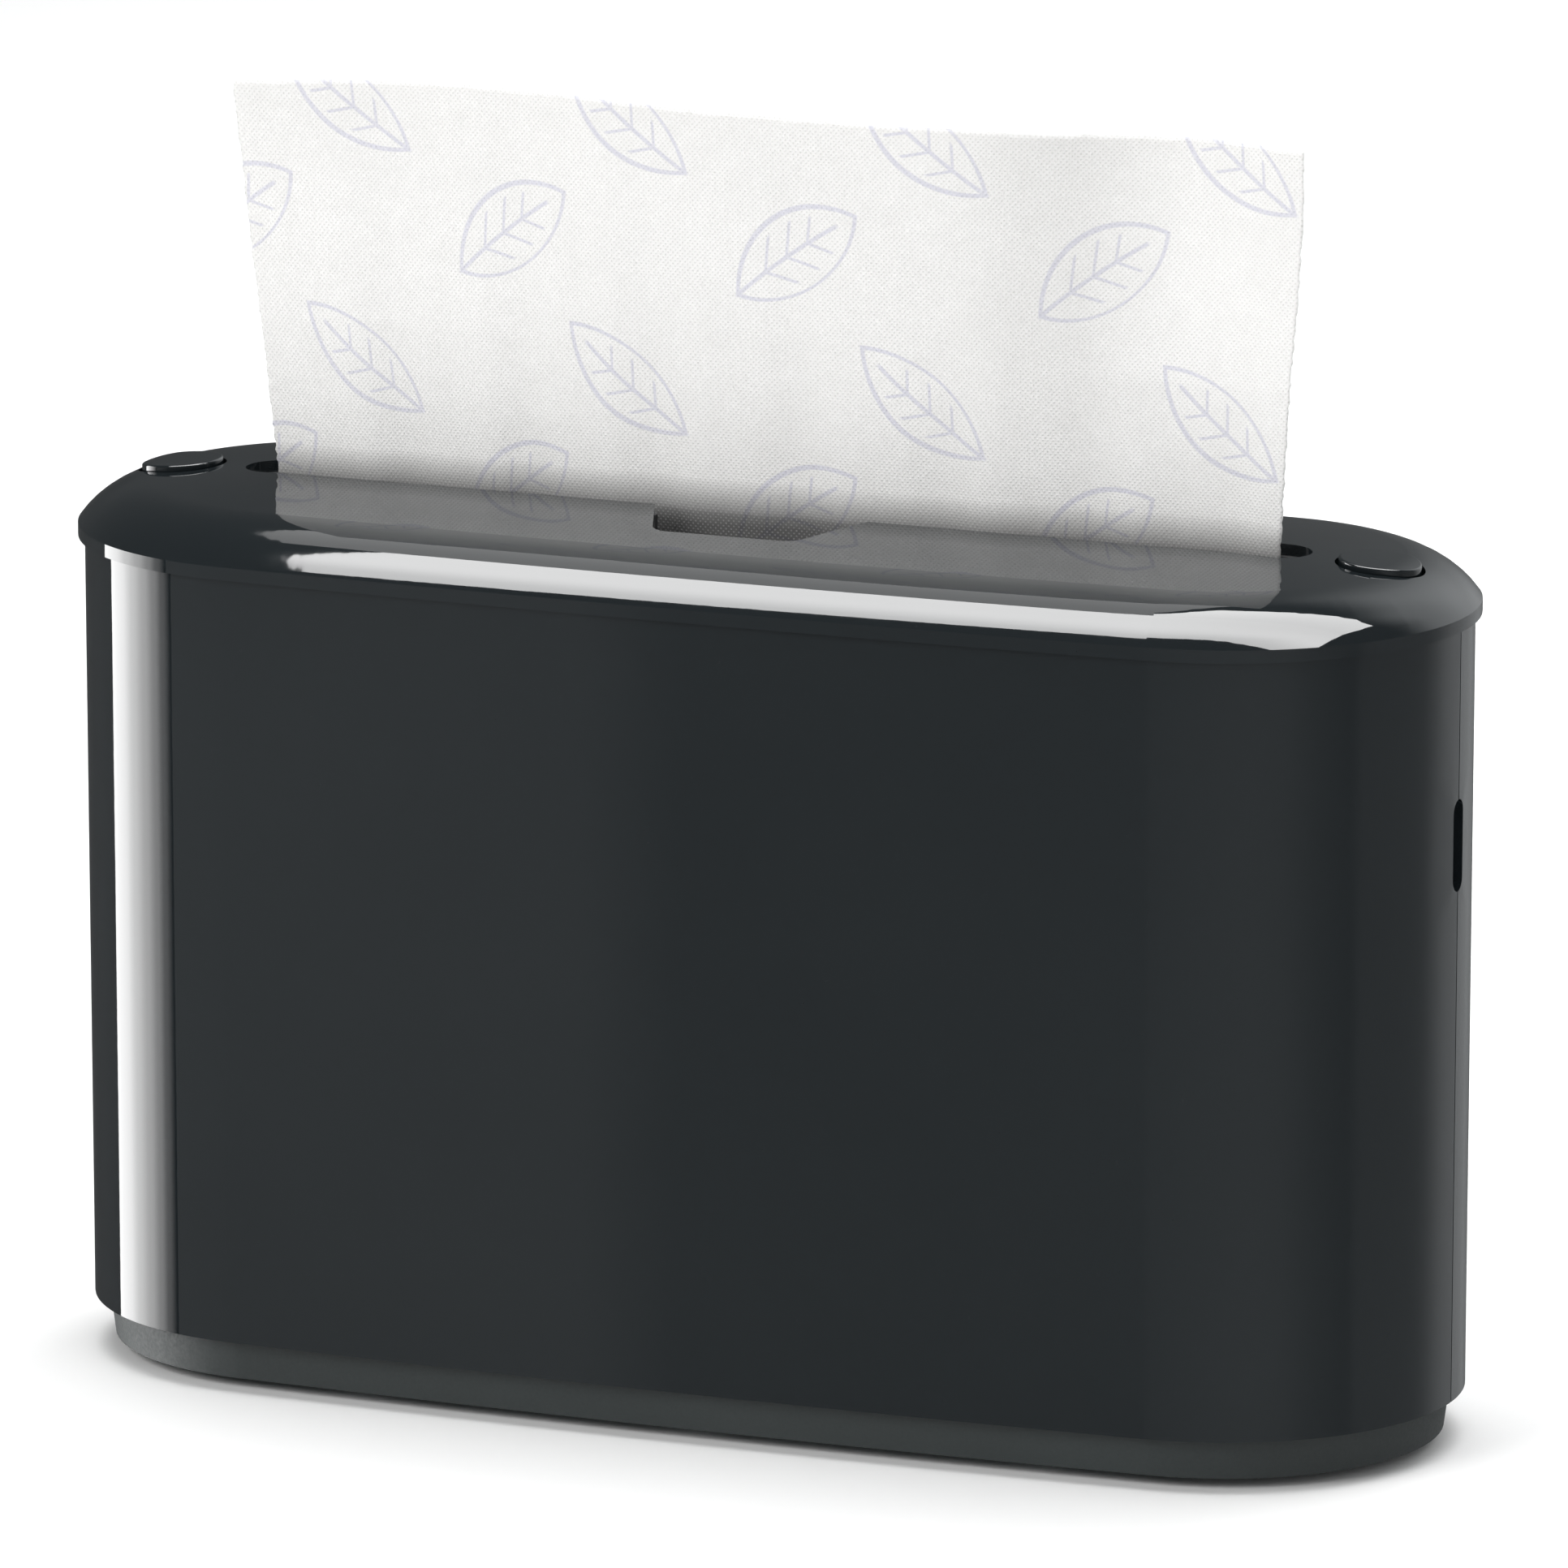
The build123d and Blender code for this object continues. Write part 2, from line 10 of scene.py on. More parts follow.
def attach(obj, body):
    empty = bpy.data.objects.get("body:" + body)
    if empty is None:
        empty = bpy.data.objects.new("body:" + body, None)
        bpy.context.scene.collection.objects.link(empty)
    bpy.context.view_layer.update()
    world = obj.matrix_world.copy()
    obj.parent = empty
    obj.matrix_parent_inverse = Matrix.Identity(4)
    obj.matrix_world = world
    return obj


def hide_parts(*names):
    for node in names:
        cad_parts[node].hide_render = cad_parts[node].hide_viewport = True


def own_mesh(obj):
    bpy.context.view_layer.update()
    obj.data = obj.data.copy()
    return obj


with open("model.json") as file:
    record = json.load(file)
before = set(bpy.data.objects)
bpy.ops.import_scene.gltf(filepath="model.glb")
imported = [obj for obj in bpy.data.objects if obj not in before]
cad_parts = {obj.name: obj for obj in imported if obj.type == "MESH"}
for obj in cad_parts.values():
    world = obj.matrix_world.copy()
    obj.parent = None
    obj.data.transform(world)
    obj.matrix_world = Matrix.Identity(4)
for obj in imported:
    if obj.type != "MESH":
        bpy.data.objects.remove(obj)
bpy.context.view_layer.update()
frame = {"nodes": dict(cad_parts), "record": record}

NODES = frame["nodes"]
scene = bpy.context.scene
scene.view_settings.view_transform = "Standard"
scene.view_settings.look = "None"


# ------------------------------------------------------------------ camera
AZ, EL = math.radians(22.033), math.radians(12.966)
BACK = Vector((math.sin(AZ) * math.cos(EL), -math.cos(AZ) * math.cos(EL), math.sin(EL)))
AIM = Vector((0.002665, 0.0, 0.13604))
cam_data = bpy.data.cameras.new("camera")
cam_data.sensor_width = 36.0
cam_data.lens = 19861.3 / 1932.0 * 36.0
cam_data.clip_start = 0.05
cam_data.clip_end = 60.0
cam = bpy.data.objects.new("camera", cam_data)
cam.location = AIM + BACK * 3.5287
cam.rotation_euler = (-BACK).to_track_quat("-Z", "Y").to_euler()
scene.collection.objects.link(cam)
scene.camera = cam


# ------------------------------------------------------------------ node helpers
class Mat:
    """A small builder for procedural materials."""

    def __init__(self, name):
        self.m = bpy.data.materials.new(name)
        self.m.use_nodes = True
        self.nt = self.m.node_tree
        self.nt.nodes.clear()
        self.out = self.nt.nodes.new("ShaderNodeOutputMaterial")
        self.b = self.nt.nodes.new("ShaderNodeBsdfPrincipled")
        self.nt.links.new(self.b.outputs[0], self.out.inputs[0])

    def n(self, kind, **kw):
        node = self.nt.nodes.new(kind)
        for k, v in kw.items():
            setattr(node, k, v)
        return node

    def link(self, a, b):
        self.nt.links.new(a, b)

    def coord(self, which="Object"):
        return self.n("ShaderNodeTexCoord").outputs[which]

    def math(self, op, a, b=None, c=None, clamp=False):
        node = self.n("ShaderNodeMath", operation=op, use_clamp=clamp)
        for i, v in enumerate((a, b, c)):
            if v is None:
                continue
            if isinstance(v, (int, float)):
                node.inputs[i].default_value = v
            else:
                self.link(v, node.inputs[i])
        return node.outputs[0]

    def noise(self, vec, scale, detail=2.0, rough=0.5):
        t = self.n("ShaderNodeTexNoise")
        t.inputs["Scale"].default_value = scale
        t.inputs["Detail"].default_value = detail
        t.inputs["Roughness"].default_value = rough
        self.link(vec, t.inputs["Vector"])
        return t.outputs["Fac"]

    def ramp(self, fac, stops):
        r = self.n("ShaderNodeValToRGB")
        el = r.color_ramp.elements
        while len(el) < len(stops):
            el.new(0.5)
        for e, (p, c) in zip(el, stops):
            e.position = p
            e.color = (*c, 1.0) if len(c) == 3 else c
        self.link(fac, r.inputs[0])
        return r.outputs[0]

    def maprange(self, v, a, b, c, d):
        r = self.n("ShaderNodeMapRange")
        r.inputs[1].default_value, r.inputs[2].default_value = a, b
        r.inputs[3].default_value, r.inputs[4].default_value = c, d
        self.link(v, r.inputs[0])
        return r.outputs[0]

    def mix(self, fac, a, b):
        r = self.n("ShaderNodeMix", data_type="RGBA")
        for sock, v in ((r.inputs[0], fac), (r.inputs[6], a), (r.inputs[7], b)):
            if isinstance(v, (int, float)):
                sock.default_value = v
            elif isinstance(v, tuple):
                sock.default_value = (*v, 1.0)
            else:
                self.link(v, sock)
        return r.outputs[2]

    def bump(self, height, strength, dist, under=None):
        r = self.n("ShaderNodeBump")
        r.inputs["Strength"].default_value = strength
        r.inputs["Distance"].default_value = dist
        self.link(height, r.inputs["Height"])
        if under is not None:
            self.link(under, r.inputs["Normal"])
        return r.outputs[0]

    def set(self, **kw):
        for k, v in kw.items():
            sock = self.b.inputs[k.replace("_", " ")]
            if isinstance(v, (int, float)):
                sock.default_value = v
            elif isinstance(v, tuple):
                sock.default_value = (*v, 1.0)
            else:
                self.link(v, sock)
        return self


def gloss_black(name, lift=1.0):
    """Polished black moulding: faint tone drift, a soft haze in the gloss, a little dust."""
    m = Mat(name)
    co = m.coord()
    drift = m.noise(co, 9.0, 3.0)
    base = m.ramp(drift, [(0.3, (0.0085 * lift, 0.0112 * lift, 0.0128 * lift)), (0.7, (0.0105 * lift, 0.0134 * lift, 0.0150 * lift))])
    dust = m.noise(co, 900.0, 4.0, 0.7)
    speck = m.maprange(dust, 0.70, 0.78, 0.0, 1.0)
    base = m.mix(m.math("MULTIPLY", speck, 0.10), base, (0.18, 0.18, 0.17))
    haze = m.noise(co, 22.0, 4.0, 0.6)
    fine = m.noise(co, 1500.0, 2.0)
    rough = m.math("ADD", m.maprange(haze, 0.3, 0.75, 0.020, 0.040), m.math("MULTIPLY", speck, 0.12))
    peel = m.noise(co, 260.0, 1.0)
    bump = m.bump(peel, 0.012, 0.0004)
    m.set(Base_Color=base, Roughness=rough, Normal=bump)
    m.b.inputs["IOR"].default_value = 1.5
    return m.m


def satin_black(name, tone, rough=0.42, grain=1400.0):
    """Fine spark-eroded texture on a satin moulding."""
    m = Mat(name)
    co = m.coord()
    drift = m.noise(co, 14.0, 3.0)
    base = m.ramp(drift, [(0.3, tuple(c * 0.9 for c in tone)), (0.7, tuple(c * 1.1 for c in tone))])
    g = m.noise(co, grain, 3.0, 0.6)
    r = m.maprange(g, 0.3, 0.7, rough - 0.06, rough + 0.08)
    m.set(Base_Color=base, Roughness=r, Normal=m.bump(g, 0.16, 0.0001))
    m.b.inputs["IOR"].default_value = 1.5
    return m.m


def plain_metal(name, tone, rough, stretch=(1.0, 1.0, 1.0), scale=600.0):
    m = Mat(name)
    co = m.coord()
    mp = m.n("ShaderNodeMapping")
    mp.inputs["Scale"].default_value = stretch
    m.link(co, mp.inputs["Vector"])
    g = m.noise(mp.outputs[0], scale, 3.0, 0.6)
    base = m.ramp(g, [(0.3, tuple(c * 0.86 for c in tone)), (0.7, tone)])
    m.set(Base_Color=base, Roughness=m.maprange(g, 0.3, 0.7, rough * 0.8, rough * 1.25), Normal=m.bump(g, 0.08, 0.00005))
    m.b.inputs["Metallic"].default_value = 1.0
    return m.m


def rubber(name):
    m = Mat(name)
    g = m.noise(m.coord(), 1800.0, 3.0, 0.7)
    m.set(Base_Color=m.ramp(g, [(0.3, (0.018, 0.018, 0.018)), (0.7, (0.032, 0.032, 0.032))]), Roughness=m.maprange(g, 0.3, 0.7, 0.7, 0.9),
          Normal=m.bump(g, 0.2, 0.0001))
    return m.m


def paint(o, mat):
    o.data.materials.clear()
    o.data.materials.append(mat)


M = {
    "gloss_black": gloss_black("gloss_black"),
    "plinth_black": satin_black("plinth_black", (0.030, 0.036, 0.036), 0.62),
    "inner_black": satin_black("inner_black", (0.020, 0.021, 0.022), 0.5, 1100.0),
    "lever_grey": satin_black("lever_grey", (0.16, 0.165, 0.17), 0.4, 1000.0),
    "lift_grey": satin_black("lift_grey", (0.22, 0.225, 0.23), 0.45, 900.0),
    "acetal_white": satin_black("acetal_white", (0.72, 0.72, 0.68), 0.35, 900.0),
    "flag_orange": satin_black("flag_orange", (0.72, 0.21, 0.03), 0.4, 900.0),
    "foot_rubber": rubber("foot_rubber"),
    "spring_steel": plain_metal("spring_steel", (0.46, 0.47, 0.49), 0.28, (1.0, 1.0, 0.05)),
    "zinc_steel": plain_metal("zinc_steel", (0.60, 0.61, 0.62), 0.35),
    "pin_steel": plain_metal("pin_steel", (0.62, 0.62, 0.63), 0.18, (1.0, 0.05, 1.0)),
}
for sp in frame["record"]["subparts"]:
    if sp["material_slot"] in M:
        paint(NODES[sp["node"]], M[sp["material_slot"]])


# ------------------------------------------------------------------ towel paper
def leaf_layer(m, s, t, cx, cz, px, pz, angle, half, wide):
    """A row of plain outline leaves: 0 off the line, 1 on it. s and t are in millimetres."""
    def wrap(v, c, p):
        q = m.math("SUBTRACT", v, c - p / 2)
        return m.math("SUBTRACT", m.math("FLOORED_MODULO", q, p), p / 2)
    x, y = wrap(s, cx, px), wrap(t, cz, pz)
    ca, sa = math.cos(math.radians(angle)), math.sin(math.radians(angle))
    a = m.math("ADD", m.math("MULTIPLY", x, ca), m.math("MULTIPLY", y, sa))
    b0 = m.math("SUBTRACT", m.math("MULTIPLY", y, ca), m.math("MULTIPLY", x, sa))
    # a little bend in the midrib
    b = m.math("ADD", b0, m.math("MULTIPLY", m.math("MULTIPLY", a, a), 0.0035))
    bb = m.math("ABSOLUTE", b)
    rad = (half * half + wide * wide) / (2 * wide)
    k = m.math("ADD", bb, rad - wide)
    sd = m.math("SUBTRACT", m.math("SQRT", m.math("ADD", m.math("MULTIPLY", a, a), m.math("MULTIPLY", k, k))), rad)
    thick = m.math("ADD", 0.42, m.math("MULTIPLY", 0.03, m.math("MULTIPLY", b, 0.6)))
    edge = m.math("SUBTRACT", m.math("ABSOLUTE", sd), thick)
    outline = m.maprange(edge, -0.12, 0.22, 1.0, 0.0)
    rib = m.maprange(m.math("SUBTRACT", bb, 0.42), -0.12, 0.22, 1.0, 0.0)
    rib = m.math("MULTIPLY", rib, m.maprange(m.math("ABSOLUTE", m.math("ADD", a, half * 0.16)), half * 0.84, half * 0.90, 1.0, 0.0))
    q = m.math("SUBTRACT", a, m.math("MULTIPLY", bb, 0.85))
    pitch = half * 0.36
    v = m.math("SUBTRACT", m.math("FLOORED_MODULO", m.math("ADD", q, pitch * 0.9), pitch), pitch / 2)
    vein = m.maprange(m.math("SUBTRACT", m.math("MULTIPLY", m.math("ABSOLUTE", v), 0.76), 0.28), -0.10, 0.20, 1.0, 0.0)
    inside = m.maprange(m.math("ADD", sd, wide * 0.26), -0.3, 0.3, 1.0, 0.0)
    reach = m.maprange(m.math("ABSOLUTE", m.math("ADD", q, half * 0.12)), half * 0.60, half * 0.66, 1.0, 0.0)
    vein = m.math("MULTIPLY", m.math("MULTIPLY", vein, inside), reach)
    return m.math("MAXIMUM", m.math("MAXIMUM", outline, rib), vein)


def towel_material(name, printed_and_shaded=True):
    m = Mat(name)
    sep = m.n("ShaderNodeSeparateXYZ")
    m.link(m.coord("UV"), sep.inputs[0])
    s = m.math("MULTIPLY", m.math("SUBTRACT", sep.outputs[0], 0.5), 300.0)
    t = m.math("ADD", m.math("MULTIPLY", sep.outputs[1], 150.0), 150.0)
    pulp = m.noise(m.coord(), 160.0, 4.0, 0.6)
    paper = m.ramp(pulp, [(0.3, (0.865, 0.858, 0.846)), (0.7, (0.895, 0.888, 0.878))])
    # embossed dots in staggered rows
    w = 2 * math.pi / 1.2
    d1 = m.math("SINE", m.math("MULTIPLY", s, w))
    d2 = m.math("SINE", m.math("MULTIPLY", t, w))
    dots = m.maprange(m.math("MULTIPLY", d1, d2), 0.15, 0.9, 0.0, 1.0)
    # painted shade: the embossed dots are also darkened in the paper's colour, as the shade in their dimples
    paper = m.mix(m.math("MULTIPLY", dots, 0.20), paper, (0.50, 0.495, 0.49))
    if printed_and_shaded:
        a = leaf_layer(m, s, t, 5.7, 255.2, 70.3, 58.0, 35.0, 16.8, 8.6)
        b = leaf_layer(m, s, t, -35.2, 223.0, 70.3, 58.0, 142.0, 18.2, 7.0)
        mark = m.math("MAXIMUM", a, b)
        worn = m.maprange(m.noise(m.coord(), 1300.0, 2.0), 0.35, 0.6, 0.80, 1.0)
        paper = m.mix(m.math("MULTIPLY", m.math("MULTIPLY", mark, worn), 0.38), paper, (0.42, 0.42, 0.62))
    if printed_and_shaded:
        # painted shade: the paper is darkened to near black where it runs down into the slot under the lid, and a
        # painted tone darkens it slowly towards its top
        low = m.maprange(t, 195.4, 203.5, 0.78, 0.0)
        shade = m.math("ADD", m.maprange(t, 205.0, 285.0, 0.0, 0.13), m.math("ADD", low, m.maprange(t, 193.0, 196.5, 0.12, 0.0)))
        # painted shade along the valley fold, around s = 66 mm, where the sheet turns away from the light
        valley_shade = m.math("MULTIPLY", m.maprange(m.math("ABSOLUTE", m.math("SUBTRACT", s, 66.0)), 8.0, 30.0, 1.0, 0.0), m.maprange(t, 210.0, 240.0, 0.03, 0.09))
        paper = m.mix(m.math("ADD", shade, valley_shade, clamp=True), paper, (0.02, 0.02, 0.02))
        # painted highlight: the emboss dots are lightened inside the painted slot shade
        paper = m.mix(m.math("MULTIPLY", m.math("MULTIPLY", dots, low), 0.20), paper, (0.80, 0.80, 0.79))
    crumple = m.noise(m.coord(), 45.0, 5.0, 0.6)
    n1 = m.bump(crumple, 0.22, 0.0012)
    n2 = m.bump(dots, 0.45, 0.00022, n1)
    m.set(Base_Color=paper, Roughness=m.maprange(pulp, 0.3, 0.7, 0.82, 0.94), Normal=n2)
    m.b.inputs["Specular IOR Level"].default_value = 0.2
    m.b.inputs["Sheen Weight"].default_value = 0.10
    return m.m


M["towel"] = towel_material("towel")
M["towel_plain"] = towel_material("towel_plain", False)


def smooth(a, b, x):
    q = np.clip((x - a) / (b - a), 0.0, 1.0)
    return q * q * (3 - 2 * q)


def feed_sheet():
    """The leading towel: a thin sheet gathered by the slot, with a free, slightly ragged top edge."""
    s = np.linspace(-132.5, 122.5, 256)
    rows = 114
    top_s = [-133, -100, -67, -16, 28, 65, 103, 123]
    top_z = [283.7, 285.6, 286.1, 284.8, 284.7, 284.5, 285.1, 284.4]
    rng = np.random.default_rng(7)
    rag = np.interp(s, s[::3], rng.uniform(-0.28, 0.22, len(s[::3])))
    ztop = np.minimum(np.interp(s, top_s, top_z) + rag, 286.4)
    rag_l = rng.uniform(-0.22, 0.22, rows)
    rag_r = rng.uniform(-0.22, 0.22, rows)
    P = np.zeros((rows, len(s), 3))
    flat = np.zeros((rows, len(s), 2))
    for j in range(rows):
        f = j / (rows - 1)
        z = 174.3 + (ztop - 174.3) * f
        zz = 174.3 + 111.0 * f
        left = np.interp(zz, [174, 197, 247, 284, 290], [-117.2, -117.6, -123.1, -127.1, -127.6])
        right = np.interp(zz, [174, 197, 238, 256, 274, 285, 290], [117.6, 117.9, 119.8, 121.0, 121.7, 121.4, 121.3])
        kl = 1 - smooth(10, 70, -s)
        kr = smooth(10, 70, s)
        dl = np.trapz(smooth(10, 70, -s[s < 0]), s[s < 0])
        dr = np.trapz(kr[s > 0], s[s > 0])
        cl = ((132.5 + left) / dl)
        cr = ((122.5 - right) / dr)
        slope = 1 - cl * smooth(10, 70, -s) - cr * kr
        x = np.concatenate([[0], np.cumsum(0.5 * (slope[1:] + slope[:-1]) * np.diff(s))])
        x += -np.interp(0.0, s, x)
        x[0] += rag_l[j]
        x[-1] += rag_r[j]
        g = np.interp(zz, [174, 205, 232, 262, 286], [0.50, 0.55, 0.72, 1.25, 1.7])
        y = -1.3 * np.sin(2 * np.pi * (s + 38) / 190) + 3.6 * smooth(48, 94, s) - 2.2 * smooth(96, 124, s)
        y = y - 1.1 * smooth(-85, -132, s)
        pin = np.interp(zz, [174, 200, 240, 286], [0.75, 0.85, 0.35, 0.12])
        y = g * y + pin * (0.75 * np.sin(2 * np.pi * s / 33 + 0.5) + 0.35 * np.sin(2 * np.pi * s / 17.3 + 1.1 + zz * 0.02))
        y = y + 0.25 * np.interp(zz, [200, 286], [0, 1]) * np.sin(2 * np.pi * (s * 0.6 + zz) / 61)
        P[j, :, 0], P[j, :, 1], P[j, :, 2] = x, y - 0.2, z
        flat[j, :, 0], flat[j, :, 1] = s, z
    # two faces, 0.16 mm apart
    du = np.gradient(P, axis=1)
    dv = np.gradient(P, axis=0)
    nrm = np.cross(du, dv)
    nrm /= np.linalg.norm(nrm, axis=2, keepdims=True)
    R_, C = P.shape[:2]
    front = P + nrm * 0.08
    rear = P - nrm * 0.08
    verts = np.concatenate([front.reshape(-1, 3), rear.reshape(-1, 3)]) / 1000.0
    idx = np.arange(R_ * C).reshape(R_, C)
    faces = []
    q = np.stack([idx[:-1, :-1], idx[:-1, 1:], idx[1:, 1:], idx[1:, :-1]], -1).reshape(-1, 4)
    faces += q.tolist()
    faces += (q[:, ::-1] + R_ * C).tolist()
    ring = np.concatenate([idx[0, :], idx[1:, -1], idx[-1, -2::-1], idx[-2:0:-1, 0]])
    off = R_ * C
    for a, b in zip(ring, np.roll(ring, -1)):
        faces.append([int(b), int(a), int(a) + off, int(b) + off])
    me = bpy.data.meshes.new("feed_towel")
    me.from_pydata(verts.tolist(), [], faces)
    uv = me.uv_layers.new(name="flat")
    fl2 = np.concatenate([flat.reshape(-1, 2), flat.reshape(-1, 2)])
    li = np.zeros(len(me.loops), dtype=np.int64)
    me.loops.foreach_get("vertex_index", li)
    co = fl2[li]
    out = np.stack([co[:, 0] / 300.0 + 0.5, (co[:, 1] - 150.0) / 150.0], 1)
    uv.data.foreach_set("uv", out.astype(np.float32).ravel())
    me.shade_smooth()
    o = bpy.data.objects.new("feed_towel", me)
    scene.collection.objects.link(o)
    paint(o, M["towel"])
    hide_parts("feed_sheet")
    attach(o, "case")
    return o


def towel_pack():
    """The pack in the well: one ribbon folded to and fro, so that its ends show the leaves and its sides the folds."""
    z0, z1, hy, hx = 45.9, 174.0, 41.2, 115.5
    leaves = 56
    pitch = (z1 - z0) / leaves
    th = pitch * 0.80
    rng = np.random.default_rng(11)
    mid_line = []
    for i in range(leaves):
        z = z0 + pitch * (i + 0.5)
        d = 1 if i % 2 == 0 else -1
        end = hy - pitch * 0.5 - rng.uniform(0.0, 1.0)
        start = hy - pitch * 0.5 - rng.uniform(0.0, 1.0)
        ys = np.linspace(-d * start, d * end, 9)
        for y in ys:
            mid_line.append((y, z + 0.10 * math.sin(y * 0.16 + i * 1.7)))
        if i < leaves - 1:
            for k in range(1, 6):
                a = -math.pi / 2 + math.pi * k / 6
                mid_line.append((d * (end + math.cos(a) * pitch * 0.5), z + pitch / 2 + math.sin(a) * pitch * 0.5))
    c = np.array(mid_line)
    t = np.gradient(c, axis=0)
    t /= np.linalg.norm(t, axis=1, keepdims=True)
    nn = np.stack([-t[:, 1], t[:, 0]], 1)
    A, B = c + nn * th / 2, c - nn * th / 2
    xs = np.array([-hx, -hx * 0.99, -hx * 0.5, 0, hx * 0.5, hx * 0.99, hx])
    n = len(c)
    verts = []
    for k, x in enumerate(xs):
        for side in (A, B):
            for i, (y, z) in enumerate(side):
                jit = 0.5 * math.sin(i * 0.37) if k in (0, len(xs) - 1) else 0.0
                verts.append(((x + (jit - 0.6 if x > 0 else 0.6 - jit) * (1 if k in (0, len(xs) - 1) else 0)) / 1000, float(np.clip(y, -42, 42)) / 1000, float(np.clip(z, z0, z1)) / 1000))
    faces = []
    m2 = 2 * n
    for k in range(len(xs) - 1):
        o0, o1 = k * m2, (k + 1) * m2
        for i in range(n - 1):
            faces.append((o0 + i, o0 + i + 1, o1 + i + 1, o1 + i))
            faces.append((o0 + n + i + 1, o0 + n + i, o1 + n + i, o1 + n + i + 1))
        faces.append((o0 + n, o0, o1, o1 + n))
        faces.append((o0 + n - 1, o0 + m2 - 1, o1 + m2 - 1, o1 + n - 1))
    e = (len(xs) - 1) * m2
    for i in range(n - 1):
        faces.append((i + 1, i, n + i, n + i + 1))
        faces.append((e + i, e + i + 1, e + n + i + 1, e + n + i))
    me = bpy.data.meshes.new("towel_pack")
    me.from_pydata(verts, [], faces)
    bm = bmesh.new()
    bm.from_mesh(me)
    bmesh.ops.recalc_face_normals(bm, faces=bm.faces)
    bm.to_mesh(me)
    bm.free()
    uv = me.uv_layers.new(name="flat")
    for lp in me.loops:
        v = me.vertices[lp.vertex_index].co
        uv.data[lp.index].uv = (v.x / 0.3 + 0.5, (v.z + v.y) / 0.15)
    me.shade_smooth()
    o = bpy.data.objects.new("towel_pack", me)
    scene.collection.objects.link(o)
    paint(o, M["towel_plain"])
    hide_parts("towel_stack")
    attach(o, "case")
    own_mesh(o)
    return o


feed_sheet()
towel_pack()


# ------------------------------------------------------------------ springs that change length
def copy_of(node, name, body):
    src = NODES[node]
    me = src.data.copy()
    me.transform(src.matrix_world)
    o = bpy.data.objects.new(name, me)
    scene.collection.objects.link(o)
    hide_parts(node)
    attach(o, body)
    return o


def strip(side, sgn):
    """Flat constant-force strip with the slight cross curve such strips have, and its two rivet holes left to the rivets."""
    rows, cols = 60, 9
    v, f = [], []
    for layer in (0, 1):
        for j in range(rows + 1):
            z = 29.0 + (173.9 - 29.0) * j / rows
            for i in range(cols):
                y = -6.0 + 12.0 * i / (cols - 1)
                sag = 0.18 * (1 - (y / 6.0) ** 2) * smooth(40, 70, z) * (1 - smooth(150, 165, z))
                v.append((sgn * (131.12 - sag + 0.16 * layer) / 1000, y / 1000, z / 1000))
    n = (rows + 1) * cols
    for j in range(rows):
        for i in range(cols - 1):
            a = j * cols + i
            f.append((a, a + 1, a + cols + 1, a + cols))
            f.append((n + a + 1, n + a, n + a + cols, n + a + cols + 1))
    for j in range(rows):
        a, b = j * cols, j * cols + cols - 1
        f.append((a, a + cols, n + a + cols, n + a))
        f.append((b + cols, b, n + b, n + b + cols))
    for i in range(cols - 1):
        a, b = i, rows * cols + i
        f.append((a + 1, a, n + a, n + a + 1))
        f.append((b, b + 1, n + b + 1, n + b))
    me = bpy.data.meshes.new("strip_" + side)
    me.from_pydata(v, [], f)
    bm = bmesh.new()
    bm.from_mesh(me)
    bmesh.ops.recalc_face_normals(bm, faces=bm.faces)
    bm.to_mesh(me)
    bm.free()
    o = bpy.data.objects.new("strip_" + side, me)
    scene.collection.objects.link(o)
    paint(o, M["spring_steel"])
    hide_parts("spring_strip_" + side)
    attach(o, "case")
    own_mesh(o)


for side, sgn in (("left", -1), ("right", 1)):
    strip(side, sgn)
    bs = copy_of("button_spring_" + side, "return_coil_" + side, "lid")
    paint(bs, M["spring_steel"])
    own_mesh(bs)


# ------------------------------------------------------------------ the stage
def card(name, corners, strength, gradient=None, glossy_only=True):
    """A flat light card. gradient = (x0, x1, s0, s1) in its own object X, in metres."""
    me = bpy.data.meshes.new(name)
    me.from_pydata([Vector(c) for c in corners], [], [(0, 1, 2, 3)])
    uv = me.uv_layers.new(name="card")
    for i, c in enumerate([(0, 0), (1, 0), (1, 1), (0, 1)]):
        uv.data[i].uv = c
    o = bpy.data.objects.new(name, me)
    scene.collection.objects.link(o)
    m = bpy.data.materials.new(name)
    m.use_nodes = True
    nt = m.node_tree
    nt.nodes.clear()
    out = nt.nodes.new("ShaderNodeOutputMaterial")
    em = nt.nodes.new("ShaderNodeEmission")
    nt.links.new(em.outputs[0], out.inputs[0])
    em.inputs[1].default_value = strength
    if gradient:
        tc = nt.nodes.new("ShaderNodeTexCoord")
        sep = nt.nodes.new("ShaderNodeSeparateXYZ")
        nt.links.new(tc.outputs["UV"], sep.inputs[0])
        fac = None
        for axis, stops in gradient.items():
            r = nt.nodes.new("ShaderNodeValToRGB")
            r.color_ramp.interpolation = "EASE"
            el = r.color_ramp.elements
            while len(el) < len(stops):
                el.new(0.5)
            for e, (p, v) in zip(el, stops):
                e.position = p
                e.color = (v, v, v, 1)
            nt.links.new(sep.outputs[axis], r.inputs[0])
            if fac is None:
                fac = r.outputs[0]
            else:
                mm = nt.nodes.new("ShaderNodeMath")
                mm.operation = "MULTIPLY"
                nt.links.new(fac, mm.inputs[0])
                nt.links.new(r.outputs[0], mm.inputs[1])
                fac = mm.outputs[0]
        mm = nt.nodes.new("ShaderNodeMath")
        mm.operation = "MULTIPLY"
        nt.links.new(fac, mm.inputs[0])
        mm.inputs[1].default_value = strength
        nt.links.new(mm.outputs[0], em.inputs[1])
    me.materials.append(m)
    o.visible_camera = False
    o.visible_shadow = False
    if glossy_only:
        o.visible_diffuse = False
        o.visible_transmission = False
        o.visible_volume_scatter = False
    return o


